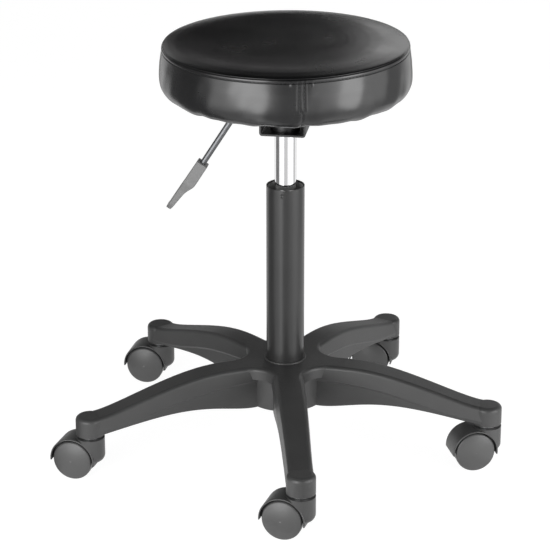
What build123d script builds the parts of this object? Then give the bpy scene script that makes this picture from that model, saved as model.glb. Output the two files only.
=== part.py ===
from build123d import *
import os
from math import asin, cos, degrees, radians, sin, sqrt

# Adjustable swivel stool: a five-arm caster base, a gas-lift column, a release lever and a round seat.
# Millimetres, +Z up. The origin is on the floor, on the column's axis. The viewer stands at -Y, and
# plan angles run from the viewer's side (-Y) towards the right (+X).

# Base: five equal arms, each with a boss that takes a caster's stem.
ARM_COUNT = 5
FIRST_ARM_ANGLE = 4.15
STEM_CIRCLE = 275.0
BOSS_RADIUS = 18.8
BOSS_LOW = 61.5
BOSS_HIGH = 87.5
BOSS_EDGE = 6.0
HUB_RADIUS = 52.0
HUB_LOW = 69.0
HUB_TOP = 126.4
HUB_SHOULDER = 114.5
HUB_FOOT_EDGE = 1.5
HUB_SHOULDER_EDGE = 3.0
COLLAR_RADIUS = 28.0
COLLAR_TOP = 128.2
COLLAR_FOOT_EDGE = 0.6
COLLAR_TOP_EDGE = 1.0
BASE_WALL = 3.5
# Stations along an arm: distance from the axis, underside, crease, top, half width, depth of the recess.
ARM_STATIONS = (
    (44.0, 69.0, 107.0, 125.6, 22.0, 2.2),
    (80.0, 71.0, 106.0, 126.3, 21.4, 2.2),
    (112.0, 76.0, 102.5, 125.0, 20.9, 2.0),
    (144.0, 78.2, 97.0, 120.0, 20.3, 1.7),
    (185.0, 76.0, 86.0, 109.5, 19.4, 1.1),
    (222.0, 71.0, 76.0, 98.4, 18.6, 0.5),
    (250.0, 66.5, 71.5, 90.4, 18.4, 0.3),
    (STEM_CIRCLE, 62.5, 67.5, 87.0, 18.4, 0.3),
)
ARM_DRAFT = 3.0
ARM_STEP = 2.5
ARM_LOWER_RADII = (1.5, 1.0, 1.5)
ARM_TOP_RADIUS = 5.0
STAR_HALF = 17.0
STAR_REACH = 88.0
STAR_THICK = 16.0
STAR_FILLET = 35.0
STAR_EDGE = 4.5
RIB_THICK = 3.0
ARM_RIBS = (95.0, 125.0, 155.0, 185.0, 215.0, 240.0)
HUB_RIBS = 10

# Casters: hooded twin wheels that trail behind a plug-in stem. Each hood has swivelled freely.
CASTER_NAMES = ("front", "right", "rear_right", "rear_left", "left")
CASTER_TURNS = (162.0, 193.0, 167.0, 167.0, 162.0)
WHEEL_RADIUS = 26.5
WHEEL_TREAD = 15.0
WHEEL_CROWN = 22.0
WHEEL_EDGE = 3.0
WHEEL_LIP = 0.8
WHEEL_INNER = 8.6
WHEEL_WALL = 3.2
WHEEL_HUB = 7.5
TRAIL = 20.0
AXLE_RADIUS = 3.0
AXLE_HALF = 17.5
AXLE_END_GAP = 0.4
WEB_HALF = 8.0
HOOD_RADIUS = 30.6
HOOD_HALF = 18.4
HOOD_EDGE = 1.2
HOOD_CAVITY = 29.0
HOOD_TAIL = 24.5
HOOD_NECK_LOW = 22.0
NECK_RADIUS = 18.8
NECK_LOW = 23.0
NECK_TOP = 57.5
NECK_EDGE = 10.0
FLAT_MARGIN = 0.4
STEM_RADIUS = 5.5
STEM_FOOT_RADIUS = 5.0
STEM_LOW = 34.5
STEM_TOP = 83.0
STEM_END_GAP = 1.0
STEM_COLLAR = 13.0
STEM_COLLAR_LOW = 58.0
SOCKET_RADIUS = 6.0
GRIP_GROOVE = 4.7
GRIP_LOW = 70.0
GRIP_HIGH = 77.0
SNAP_GROOVE = 4.2
SNAP_RADIUS = 6.3
SNAP_LOW = 39.5
SNAP_HIGH = 41.0
SNAP_ROOM = 0.5
FIT = 0.05

# Column and gas spring.
COLUMN_RADIUS = 25.0
COLUMN_FOOT_RADIUS = 24.0
COLUMN_BORE = 23.5
COLUMN_FOOT_BORE = 22.5
COLUMN_LOW = 71.0
COLUMN_FLOOR = 75.0
COLUMN_TAPER_TOP = 127.0
COLUMN_TOP = 370.0
DIMPLE_ANGLE = -10.0
DIMPLE_DROP = 7.5
DIMPLE_RADIUS = 4.2
DIMPLE_DEPTH = 1.1
BUSH_LOW = 290.0
BUSH_TOP = 368.5
BUSH_MOUTH_RADIUS = 21.8
BUSH_MOUTH_LOW = 356.0
BUSH_THROAT = 352.0
GAS_RADIUS = 14.0
GAS_BORE = 12.2
GAS_LOW = 155.0
GAS_CAVITY_TOP = 435.0
GAS_TOP = 468.0
TAPER_LOW = 445.0
TAPER_TIP_RADIUS = 13.45
GUIDE_TOP = 165.0
SEAL_TOP = 169.0
VALVE_LOW = 413.0
PRESSURE_RADIUS = 11.4
PRESSURE_BORE = 10.4
ROD_RADIUS = 5.0
ROD_FOOT_RADIUS = 4.0
ROD_LOW = 66.0
PISTON_LOW = 231.0
PISTON_HIGH = 243.0
PISTON_GROOVE = 8.6
PISTON_RING_LOW = 236.0
PISTON_RING_HIGH = 238.0
PIN_RADIUS = 3.0
PIN_TOP = 472.3
PIN_HEAD_RADIUS = 4.5
PIN_HEAD_LOW = 410.0
PIN_HEAD_HIGH = 412.8

# Foot of the column: ball thrust bearing above its floor, washer and clip below.
BEARING_RADIUS = 11.0
WASHER_THICK = 1.5
BALL_RADIUS = 2.0
BALL_CIRCLE = 7.6
BALL_COUNT = 8
BALL_GAP = 0.05
BALL_MIDDLE = COLUMN_FLOOR + WASHER_THICK + BALL_GAP + BALL_RADIUS
TOP_RACE = BALL_MIDDLE + BALL_RADIUS + BALL_GAP
BEARING_TOP = TOP_RACE + WASHER_THICK
CAGE_RADIUS = 10.4
CAGE_INNER = 5.0
CAGE_THICK = 1.4
BUMP_RADIUS = 10.0
BUMP_TOP = 93.0
FOOT_HOLE = 4.4
FOOT_WASHER_RADIUS = 9.0
FOOT_WASHER_HIGH = 70.8
CLIP_RADIUS = 6.5
CLIP_GROOVE = 3.1
CLIP_LOW = 68.0
CLIP_HIGH = 69.2
CLIP_GAP = 0.1

# Seat: cover, foam, board. The profile is made of tangent arcs, so a skin is the same arcs moved inwards.
PAD_RADIUS = 162.5
PAD_BOTTOM = 494.5
PAD_LOWER_ROLL = 22.0
SEAM_RADIUS = 157.5
SEAM_HEIGHT = 559.0
TOP_ROLL = 3.5
CROWN_TOP = 569.5
COVER_THICK = 1.2
HEM_INNER = 112.0
HEM_GAP = 0.5
BOARD_RADIUS = 142.0
BOARD_THICK = 12.0
BOARD_EDGE = 3.0
DUST_THICK = 0.6
DUST_RADIUS = 131.0
STAPLE_COUNT = 20
STAPLE_CIRCLE = 122.0
STAPLE_WIDTH = 10.0
STAPLE_WIRE = 0.8
STAPLE_LEG = 6.0

# Seat mechanism, turned with the lever. Its own +X runs out along the lever, and +Y faces the viewer.
MECHANISM_TURN = 172.0
PLATE_HALF = 75.0
PLATE_THICK = 2.5
PLATE_CORNER = 12.0
CHANNEL_HALF = 30.0
CHANNEL_FRONT = 30.0
CHANNEL_BACK = -45.0
CHANNEL_LOW = 445.0
CHANNEL_THICK = 2.5
CHANNEL_BEND = 4.0
GAS_ROOM = 0.3
TAPER_SOCKET_RADIUS = 19.0
TAPER_SOCKET_TOP = 467.0
SCREW_SPREAD = 58.0
SCREW_RADIUS = 3.0
SCREW_HEAD_RADIUS = 6.0
SCREW_HEAD_HIGH = 4.0
LOCK_WASHER_RADIUS = 6.6
LOCK_WASHER_THICK = 1.5
SCREW_REACH = 11.0
SCREW_ROOM = 0.3
SCREW_KEY_RADIUS = 2.9
SCREW_KEY_DEPTH = 2.5
TEE_BARREL = 4.2
TEE_FLANGE = 9.0
TEE_FLANGE_THICK = 1.2
TEE_LENGTH = 9.0

# Release lever: a bent rod over the release pin, hinged on a cross pin, with a paddle on its end.
LEVER_RADIUS = 4.0
LEVER_HEIGHT = 480.0
LEVER_INNER = -7.0
LEVER_BEND_AT = 55.0
LEVER_BEND_RADIUS = 14.0
PADDLE_AT = (108.6, 394.5)
PADDLE_DEPTH = 30.0
PADDLE_LENGTH = 79.0
PADDLE_SOCKET_THICK = 7.6
PADDLE_SOCKET_WIDE = 8.5
PADDLE_BLADE_WIDE = 13.0
PADDLE_STEP_START = 29.0
PADDLE_STEP_END = 50.0
PADDLE_BLADE_INNER = -0.8
PADDLE_TIP = 5.0
PADDLE_TIP_INNER = 2.2
PADDLE_TIP_OUTER = 8.6
PADDLE_EDGE = 1.4
PIVOT_AT = 19.0
PIVOT_RADIUS = 2.5
PIVOT_HALF = 10.0
PIVOT_HEAD_RADIUS = 4.0
PIVOT_HEAD_THICK = 1.5
EYE_RADIUS = 5.5
EYE_HALF = 5.5
NOSE_RADIUS = 2.8
NOSE_GAP = 0.3
EAR_GAP = 0.5
EAR_THICK = 2.5
EAR_FRONT = 12.5
EAR_LOW = 471.0
EAR_HIGH = 489.0
SLOT_HALF = 5.0
SLOT_LOW = 474.5
SLOT_HIGH = 488.0

# How far a cutting shape runs past the face that it opens.
CUT = 1.0

UPWARD = (Align.CENTER, Align.CENTER, Align.MIN)


def rod(radius, low, high):
    """Upright round bar about Z between two heights."""
    return Pos(0, 0, low) * Cylinder(radius, high - low, align=UPWARD)


def tube(outer, inner, low, high):
    """Upright ring or tube about Z between two heights."""
    return rod(outer, low, high) - rod(inner, low, high)


def turned(*points, radii=0):
    """Solid of revolution about Z from an outline of (radius, height) points, with rounded corners."""
    return revolve(Plane.XZ * make_face(FilletPolyline(*points, radius=radii, close=True)), Axis.Z)


def slab(x_range, y_range, z_range):
    """Box between two limits on each axis."""
    sizes = [high - low for low, high in (x_range, y_range, z_range)]
    middles = [(high + low) / 2 for low, high in (x_range, y_range, z_range)]
    return Pos(*middles) * Box(*sizes)


def cross_bar(radius, half_length):
    """Round bar along Y, centred on the origin."""
    return Rot(90, 0, 0) * Cylinder(radius, 2 * half_length)


def around(shape, count, first=0.0):
    """Equal copies of a shape, turned about Z."""
    return [Rot(0, 0, first + 360.0 * step / count) * shape for step in range(count)]


def without(shape, cutters):
    """A shape with several others cut away."""
    for cutter in cutters:
        shape -= cutter
    return shape


def arm_place(index):
    """Turn that lays an arm drawn along +X onto its plan direction."""
    return Rot(0, 0, FIRST_ARM_ANGLE - 90.0 + 360.0 * index / ARM_COUNT)


def stem_place(index):
    """Place of a caster's stem axis on the floor."""
    angle = radians(FIRST_ARM_ANGLE + 360.0 * index / ARM_COUNT)
    return Pos(STEM_CIRCLE * sin(angle), -STEM_CIRCLE * cos(angle), 0)


def arm_plane(distance):
    """Upright plane across an arm drawn along +X."""
    return Plane(origin=(distance, 0, 0), x_dir=(0, 1, 0), z_dir=(1, 0, 0))


def arm_outline(station):
    """Rounded cross-section of an arm: recessed lower side, crease, drafted upper side, flat top."""
    distance, low, crease, high, half, recess = station
    right = [
        (half - recess, low),
        (half - recess, crease - ARM_STEP),
        (half, crease),
        (half - ARM_DRAFT, high),
    ]
    left = [(-x, z) for x, z in reversed(right)]
    right_radii = [*ARM_LOWER_RADII, ARM_TOP_RADIUS]
    outline = FilletPolyline(*right, *left, radius=right_radii + right_radii[::-1], close=True)
    return arm_plane(distance) * make_face(outline)


def arm_hollow(station):
    """Cross-section of the space inside an arm, open at the underside."""
    distance, low, _, high, half, recess = station
    mouth = half - recess - BASE_WALL
    ceiling = half - ARM_DRAFT - BASE_WALL
    roof = high - BASE_WALL
    corners = [(-mouth, low - CUT), (mouth, low - CUT), (ceiling, roof), (-ceiling, roof)]
    return arm_plane(distance) * make_face(Polyline(*corners, close=True))


def base_arm():
    """One arm along +X: a lofted shell with a ribbed hollow below and a round boss at the tip."""
    body = loft([arm_outline(station) for station in ARM_STATIONS])
    hollow = loft([arm_hollow(station) for station in ARM_STATIONS[1:-1]])
    for distance in ARM_RIBS:
        span = (distance - RIB_THICK / 2, distance + RIB_THICK / 2)
        hollow -= slab(span, (-BOSS_RADIUS, BOSS_RADIUS), (0, COLLAR_TOP))
    hollow -= slab((0, STEM_CIRCLE), (-RIB_THICK / 2, RIB_THICK / 2), (0, COLLAR_TOP))
    knob = rod(BOSS_RADIUS, BOSS_LOW, BOSS_HIGH)
    knob = fillet(knob.edges().group_by(Axis.Z)[-1], BOSS_EDGE)
    return body - hollow + Pos(STEM_CIRCLE, 0, 0) * knob


def star_top():
    """Flange over the hub: the arms' tops joined by hollow curves between neighbours."""
    spoke = Pos(STAR_REACH / 2, 0) * Rectangle(STAR_REACH, 2 * STAR_HALF)
    plan = Sketch() + around(spoke, ARM_COUNT, FIRST_ARM_ANGLE - 90.0)
    forks = plan.vertices().sort_by_distance((0, 0, 0))[:ARM_COUNT]
    flange = extrude(fillet(forks, STAR_FILLET), STAR_THICK)
    flange = fillet(flange.faces().sort_by(Axis.Z)[-1].edges(), STAR_EDGE)
    return Pos(0, 0, HUB_TOP - STAR_THICK) * flange


def star_base():
    """Nylon moulding: hub, five hollow arms, tapered column seat and five stem sockets."""
    hub = turned((0, HUB_LOW), (HUB_RADIUS, HUB_LOW), (HUB_RADIUS, HUB_SHOULDER),
                 (COLLAR_RADIUS, HUB_TOP), (COLLAR_RADIUS, COLLAR_TOP), (0, COLLAR_TOP),
                 radii=(0, HUB_FOOT_EDGE, HUB_SHOULDER_EDGE, COLLAR_FOOT_EDGE, COLLAR_TOP_EDGE, 0))
    cell = tube(HUB_RADIUS - BASE_WALL, COLLAR_RADIUS, HUB_LOW - CUT, HUB_TOP - STAR_THICK)
    spoke = slab((0, HUB_RADIUS), (-RIB_THICK / 2, RIB_THICK / 2), (0, COLLAR_TOP))
    for rib in around(spoke, HUB_RIBS, FIRST_ARM_ANGLE - 90.0):
        cell -= rib
    base = hub - cell + star_top()
    arm = base_arm()
    for index in range(ARM_COUNT):
        base += arm_place(index) * arm
    base -= column_outside()
    for index in range(ARM_COUNT):
        base -= stem_place(index) * rod(SOCKET_RADIUS, BOSS_LOW - CUT, STEM_TOP + STEM_END_GAP)
    return base


def column_outside():
    """Outside of the column: straight tube over a tapered foot that wedges into the hub."""
    return turned((0, COLUMN_LOW), (COLUMN_FOOT_RADIUS, COLUMN_LOW), (COLUMN_RADIUS, COLUMN_TAPER_TOP),
                  (COLUMN_RADIUS, COLUMN_TOP), (0, COLUMN_TOP)) + rod(COLUMN_FOOT_RADIUS, 0, COLUMN_LOW)


def outer_column():
    """Steel tube with a floor for the bearing, and a punched dimple that keys the guide bush."""
    shell = turned((FOOT_HOLE, COLUMN_LOW), (COLUMN_FOOT_RADIUS, COLUMN_LOW),
                   (COLUMN_RADIUS, COLUMN_TAPER_TOP), (COLUMN_RADIUS, COLUMN_TOP),
                   (COLUMN_BORE, COLUMN_TOP), (COLUMN_BORE, COLUMN_TAPER_TOP),
                   (COLUMN_FOOT_BORE, COLUMN_FLOOR), (FOOT_HOLE, COLUMN_FLOOR))
    reach = COLUMN_RADIUS + DIMPLE_RADIUS - DIMPLE_DEPTH
    angle = radians(DIMPLE_ANGLE)
    centre = (reach * sin(angle), -reach * cos(angle), COLUMN_TOP - DIMPLE_DROP)
    return shell - Pos(*centre) * Sphere(DIMPLE_RADIUS)


def caster_stem():
    """Plug-in pin: grooved top for the grip ring, collar under the boss, grooved foot for the hood."""
    pin = rod(STEM_FOOT_RADIUS, STEM_LOW, STEM_COLLAR_LOW)
    pin += rod(STEM_COLLAR, STEM_COLLAR_LOW, BOSS_LOW)
    pin += rod(STEM_RADIUS, BOSS_LOW, STEM_TOP)
    pin -= tube(STEM_RADIUS + CUT, GRIP_GROOVE, GRIP_LOW, GRIP_HIGH)
    return pin - tube(STEM_FOOT_RADIUS + CUT, SNAP_GROOVE, SNAP_LOW, SNAP_HIGH)


def split_ring(outer, inner, low, high):
    """Ring with a narrow gap on its +X side, so that it can spring over a groove."""
    half_gap = inner / 4
    gap = slab((0, outer + CUT), (-half_gap, half_gap), (low - CUT, high + CUT))
    return tube(outer, inner, low, high) - gap


def caster_hood():
    """Moulded hood, drawn about its stem with the wheels trailing along +X."""
    axle_at = Pos(TRAIL, 0, WHEEL_RADIUS)
    neck = rod(NECK_RADIUS, NECK_LOW, NECK_TOP)
    neck = fillet(neck.edges().group_by(Axis.Z)[0], NECK_EDGE)
    dome = cross_bar(HOOD_RADIUS, HOOD_HALF)
    dome = axle_at * fillet(dome.edges().filter_by(GeomType.CIRCLE), HOOD_EDGE)
    tail = TRAIL + HOOD_RADIUS + CUT
    nose = TRAIL - HOOD_RADIUS
    open_side = make_face(Polyline((tail, HOOD_TAIL), (tail, -HOOD_RADIUS), (nose, -HOOD_RADIUS),
                                   (nose, HOOD_NECK_LOW), (0, HOOD_NECK_LOW), close=True))
    dome -= extrude(Plane.XZ * open_side, 2 * HOOD_HALF, both=True)
    hood = dome + neck
    cavity = cross_bar(HOOD_CAVITY, 2 * HOOD_HALF) - cross_bar(HOOD_CAVITY + CUT, WEB_HALF)
    hood -= axle_at * cavity
    hood -= axle_at * cross_bar(AXLE_RADIUS, HOOD_HALF)
    hood -= rod(BOSS_RADIUS + FLAT_MARGIN, NECK_TOP, BOSS_LOW)
    hood -= rod(STEM_FOOT_RADIUS + FIT, STEM_LOW - STEM_END_GAP, BOSS_LOW)
    return hood - rod(SNAP_RADIUS + SNAP_ROOM, SNAP_LOW - SNAP_ROOM, SNAP_HIGH + SNAP_ROOM)


def caster_axle():
    """Steel pin through the hood's web, a running fit in both wheels."""
    return Pos(TRAIL, 0, WHEEL_RADIUS) * cross_bar(AXLE_RADIUS, AXLE_HALF)


def caster_wheel():
    """Nylon wheel turned about Z: domed outer face up, rim and hub round a hollow below.

    The dome is an arc that ends at the crown and is tangent to the rounded edge of the tread.
    """
    bore = AXLE_RADIUS + FIT
    bore_end = AXLE_HALF + AXLE_END_GAP
    rim = WHEEL_RADIUS - WHEEL_WALL
    shoulder = WHEEL_RADIUS - WHEEL_EDGE
    rise = WHEEL_CROWN - WHEEL_TREAD
    dome = (shoulder ** 2 + rise ** 2 - WHEEL_EDGE ** 2) / (2 * (rise - WHEEL_EDGE))
    lean = degrees(asin(shoulder / (dome - WHEEL_EDGE)))
    lip = WHEEL_INNER + WHEEL_LIP
    outline = [
        Polyline((bore, WHEEL_INNER), (WHEEL_HUB, WHEEL_INNER), (WHEEL_HUB, WHEEL_TREAD),
                 (rim, WHEEL_TREAD), (rim, WHEEL_INNER), (WHEEL_RADIUS - WHEEL_LIP, WHEEL_INNER),
                 (WHEEL_RADIUS, lip), (WHEEL_RADIUS, WHEEL_TREAD)),
        CenterArc((shoulder, WHEEL_TREAD), WHEEL_EDGE, 0, 90 - lean),
        CenterArc((0, WHEEL_CROWN - dome), dome, 90 - lean, lean),
        Polyline((0, WHEEL_CROWN), (0, bore_end), (bore, bore_end), (bore, WHEEL_INNER)),
    ]
    return revolve(Plane.XZ * make_face(outline), Axis.Z)


def guide_bush():
    """Plastic sleeve in the column's top: a thin mouth over a thick guide for the gas cylinder."""
    bore = GAS_RADIUS + FIT
    return turned((bore, BUSH_LOW), (COLUMN_BORE, BUSH_LOW), (COLUMN_BORE, BUSH_TOP),
                  (BUSH_MOUTH_RADIUS, BUSH_TOP), (BUSH_MOUTH_RADIUS, BUSH_MOUTH_LOW), (bore, BUSH_THROAT))


def gas_cylinder():
    """Chromed tube with a plugged, tapered top that wedges into the seat's socket."""
    outside = turned((0, GAS_LOW), (GAS_RADIUS, GAS_LOW), (GAS_RADIUS, TAPER_LOW),
                     (TAPER_TIP_RADIUS, GAS_TOP), (0, GAS_TOP))
    inside = rod(GAS_BORE, GAS_LOW - CUT, GAS_CAVITY_TOP)
    return outside - inside - rod(PIN_RADIUS + FIT, GAS_CAVITY_TOP - CUT, GAS_TOP + CUT)


def piston_rod():
    """Rod that stands on the bearing: a shouldered foot with a clip groove, and the piston's seat."""
    bar = rod(ROD_FOOT_RADIUS, ROD_LOW, BEARING_TOP) + rod(ROD_RADIUS, BEARING_TOP, PISTON_HIGH)
    return bar - tube(ROD_FOOT_RADIUS + CUT, CLIP_GROOVE, CLIP_LOW, CLIP_HIGH)


def piston():
    """Piston head, a running fit in the pressure tube, with a groove for its ring."""
    head = tube(PRESSURE_BORE - FIT, ROD_RADIUS, PISTON_LOW, PISTON_HIGH)
    return head - tube(PRESSURE_BORE, PISTON_GROOVE, PISTON_RING_LOW, PISTON_RING_HIGH)


def release_pin():
    """Valve pin: a stem that the lever presses, and a head that closes the valve from below."""
    return rod(PIN_RADIUS, PIN_HEAD_HIGH, PIN_TOP) + rod(PIN_HEAD_RADIUS, PIN_HEAD_LOW, PIN_HEAD_HIGH)


def bearing_balls():
    """Ring of steel balls between the two races."""
    ball = Pos(BALL_CIRCLE, 0, BALL_MIDDLE) * Sphere(BALL_RADIUS)
    return Compound(around(ball, BALL_COUNT))


def ball_cage():
    """Plastic ring with a pocket for each ball."""
    ring = tube(CAGE_RADIUS, CAGE_INNER, BALL_MIDDLE - CAGE_THICK / 2, BALL_MIDDLE + CAGE_THICK / 2)
    pocket = rod(BALL_RADIUS + FIT, BALL_MIDDLE - CAGE_THICK, BALL_MIDDLE + CAGE_THICK)
    return without(ring, around(Pos(BALL_CIRCLE, 0, 0) * pocket, BALL_COUNT))


def side_arcs(skin):
    """Side of the seat below the seam, moved inwards by a skin: lower roll, then the bulged band."""
    roll_middle = (PAD_RADIUS - PAD_LOWER_ROLL, PAD_BOTTOM + PAD_LOWER_ROLL)
    rise = SEAM_HEIGHT - roll_middle[1]
    sink = PAD_RADIUS - SEAM_RADIUS
    bulge = (rise ** 2 + sink ** 2) / (2 * sink)
    bulge_middle = (PAD_RADIUS - bulge, roll_middle[1])
    sweep = degrees(asin(rise / bulge))
    return [
        CenterArc(roll_middle, PAD_LOWER_ROLL - skin, -90, 90),
        CenterArc(bulge_middle, bulge - skin, 0, sweep),
    ]


def top_arcs(skin):
    """Top of the seat above the seam, moved inwards by a skin: rolled edge, then the shallow crown."""
    roll_middle = (SEAM_RADIUS - TOP_ROLL, SEAM_HEIGHT)
    depth = CROWN_TOP - SEAM_HEIGHT
    crown = (roll_middle[0] ** 2 + depth ** 2 - TOP_ROLL ** 2) / (2 * depth - 2 * TOP_ROLL)
    lean = degrees(asin(roll_middle[0] / (crown - TOP_ROLL)))
    return [
        CenterArc(roll_middle, TOP_ROLL - skin, 0, 90 - lean),
        CenterArc((0, CROWN_TOP - crown), crown - skin, 90 - lean, lean),
    ]


def round_solid(*edges):
    """Solid of revolution about Z from profile edges, closed by straight lines where they part."""
    closed = []
    for edge, follower in zip(edges, edges[1:] + edges[:1]):
        closed.append(edge)
        if (edge @ 1 - follower @ 0).length > 1e-6:
            closed.append(Line(edge @ 1, follower @ 0))
    return revolve(Plane.XZ * make_face(closed), Axis.Z)


def backwards(edges):
    """The same edges in the opposite order and direction."""
    return [edge.reversed() for edge in reversed(edges)]


def seat_cover_top():
    """Vinyl top panel, from the seam over the rolled edge and the crown."""
    return round_solid(*top_arcs(0), *backwards(top_arcs(COVER_THICK)))


def seat_cover_band():
    """Vinyl side band, from the seam down, round the lower roll and in to the stapled hem."""
    hem_low = Line((HEM_INNER, PAD_BOTTOM), (PAD_RADIUS - PAD_LOWER_ROLL, PAD_BOTTOM))
    hem_high = PAD_BOTTOM + COVER_THICK
    hem_back = Line((PAD_RADIUS - PAD_LOWER_ROLL, hem_high), (HEM_INNER, hem_high))
    return round_solid(hem_low, *side_arcs(0), *backwards(side_arcs(COVER_THICK)), hem_back) - staple_ring()


def seat_filling():
    """Everything inside the cover: the shape that foam and board share."""
    low = PAD_BOTTOM + COVER_THICK
    floor = Line((0, low), (PAD_RADIUS - PAD_LOWER_ROLL, low))
    return round_solid(floor, *side_arcs(COVER_THICK), *top_arcs(COVER_THICK))


def board_height():
    """Underside of the plywood board."""
    return PAD_BOTTOM + COVER_THICK


def plate_height():
    """Underside of the steel seat plate, which clamps the dust cover against the board."""
    return board_height() - DUST_THICK - PLATE_THICK


def mechanism(shape):
    """A piece drawn along the lever, turned to the lever's plan direction."""
    return Rot(0, 0, MECHANISM_TURN) * shape


def at_screws(shape):
    """The four screw positions, two each side of the channel."""
    corners = [(x, y) for x in (-SCREW_SPREAD, SCREW_SPREAD) for y in (-SCREW_SPREAD, SCREW_SPREAD)]
    return [mechanism(Pos(x, y, 0) * shape) for x, y in corners]


def seat_screw():
    """Hexagon-socket screw, head down, through the lock washer and plate into its tee nut."""
    head_high = plate_height() - LOCK_WASHER_THICK
    head_low = head_high - SCREW_HEAD_HIGH
    head = rod(SCREW_HEAD_RADIUS, head_low, head_high)
    head -= extrude(Pos(0, 0, head_low) * RegularPolygon(SCREW_KEY_RADIUS, 6), SCREW_KEY_DEPTH)
    return head + rod(SCREW_RADIUS, head_high, plate_height() + PLATE_THICK + SCREW_REACH)


def tee_nut():
    """Pressed nut: a barrel down into the board and a flange on top of it."""
    top = board_height() + BOARD_THICK
    nut = rod(TEE_BARREL, top - TEE_LENGTH, top) + rod(TEE_FLANGE, top, top + TEE_FLANGE_THICK)
    return nut - rod(SCREW_RADIUS, top - TEE_LENGTH - CUT, top + TEE_FLANGE_THICK + CUT)


def seat_board():
    """Round plywood board with a bored hole for each tee nut and screw."""
    low = board_height()
    board = rod(BOARD_RADIUS, low, low + BOARD_THICK)
    board = chamfer(board.edges().group_by(Axis.Z)[0], BOARD_EDGE)
    nut_top = low + BOARD_THICK
    hole = rod(TEE_BARREL, nut_top - TEE_LENGTH, nut_top) + rod(SCREW_RADIUS + SCREW_ROOM, low, nut_top)
    return without(board, at_screws(hole)) - staple_ring()


def seat_foam():
    """Moulded foam: fills the cover above and around the board."""
    low = board_height()
    board = rod(BOARD_RADIUS, low, low + BOARD_THICK)
    board = chamfer(board.edges().group_by(Axis.Z)[0], BOARD_EDGE)
    flange = rod(TEE_FLANGE, low + BOARD_THICK, low + BOARD_THICK + TEE_FLANGE_THICK)
    return without(seat_filling() - board, at_screws(flange))


def dust_cover():
    """Woven cloth under the board: clamped by the plate, lapped over the hem at its edge."""
    top = board_height()
    lap = PAD_BOTTOM
    inner = HEM_INNER - HEM_GAP
    under = lap - DUST_THICK
    sheet = turned((0, top), (inner, top), (inner, lap), (DUST_RADIUS, lap), (DUST_RADIUS, under),
                   (inner - DUST_THICK, under), (inner - DUST_THICK, top - DUST_THICK),
                   (0, top - DUST_THICK))
    return without(sheet, at_screws(rod(SCREW_RADIUS + SCREW_ROOM, lap - CUT, top + CUT))) - staple_ring()


def staple():
    """Wire staple on +X, its crown under the dust cover and two legs up into the board."""
    low = PAD_BOTTOM - DUST_THICK - STAPLE_WIRE
    half = STAPLE_WIDTH / 2
    across = (STAPLE_CIRCLE - STAPLE_WIRE / 2, STAPLE_CIRCLE + STAPLE_WIRE / 2)
    crown = slab(across, (-half, half), (low, low + STAPLE_WIRE))
    for side in (-half, half - STAPLE_WIRE):
        crown += slab(across, (side, side + STAPLE_WIRE), (low, low + STAPLE_LEG))
    return crown


def staple_ring():
    """All staples round the hem."""
    return Compound(around(staple(), STAPLE_COUNT))


def seat_plate():
    """Square steel plate with rounded corners and four screw holes."""
    low = plate_height()
    outline = RectangleRounded(2 * PLATE_HALF, 2 * PLATE_HALF, PLATE_CORNER)
    sheet = mechanism(Pos(0, 0, low) * extrude(outline, PLATE_THICK))
    hole = rod(SCREW_RADIUS + SCREW_ROOM, low - CUT, low + PLATE_THICK + CUT)
    return without(sheet, at_screws(hole))


def mechanism_channel():
    """Folded steel channel welded under the plate, open at both ends, slotted for the lever."""
    high = plate_height()
    outer = CHANNEL_HALF
    inner = outer - CHANNEL_THICK
    floor = CHANNEL_LOW + CHANNEL_THICK
    inner_bend = CHANNEL_BEND - CHANNEL_THICK
    radii = (0, CHANNEL_BEND, CHANNEL_BEND, 0, 0, inner_bend, inner_bend, 0)
    outline = FilletPolyline((-outer, high), (-outer, CHANNEL_LOW), (outer, CHANNEL_LOW), (outer, high),
                             (inner, high), (inner, floor), (-inner, floor), (-inner, high),
                             radius=radii, close=True)
    length = CHANNEL_FRONT - CHANNEL_BACK
    channel = Pos(0, CHANNEL_FRONT, 0) * extrude(Plane.XZ * make_face(outline), length)
    channel -= rod(GAS_RADIUS + GAS_ROOM, CHANNEL_LOW - CUT, floor + CUT)
    return mechanism(channel - lever_slot(inner - CUT, outer + CUT))


def lever_slot(start, end):
    """Slot that lets the lever through a wall, tall enough for its swing."""
    return slab((start, end), (-SLOT_HALF, SLOT_HALF), (SLOT_LOW, SLOT_HIGH))


def taper_socket():
    """Thick steel collar welded on the channel's floor, bored to the cylinder's taper."""
    low = CHANNEL_LOW + CHANNEL_THICK
    collar = rod(TAPER_SOCKET_RADIUS, low, TAPER_SOCKET_TOP)
    cone = turned((0, TAPER_LOW), (GAS_RADIUS, TAPER_LOW), (TAPER_TIP_RADIUS, GAS_TOP), (0, GAS_TOP))
    return collar - cone


def lever_bracket():
    """Folded bracket on the channel's wall, with an ear each side of the lever's eye."""
    back = CHANNEL_HALF - CHANNEL_THICK
    ear_low = EYE_HALF + EAR_GAP
    ear_high = ear_low + EAR_THICK
    block = slab((EAR_FRONT, back), (-ear_high, ear_high), (EAR_LOW, EAR_HIGH))
    between = (EAR_FRONT - CUT, back - EAR_THICK)
    block -= slab(between, (-ear_low, ear_low), (EAR_LOW - CUT, EAR_HIGH + CUT))
    block -= lever_slot(back - EAR_THICK - CUT, back + CUT)
    return mechanism(block - Pos(PIVOT_AT, 0, LEVER_HEIGHT) * cross_bar(PIVOT_RADIUS, PIVOT_HALF))


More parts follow.
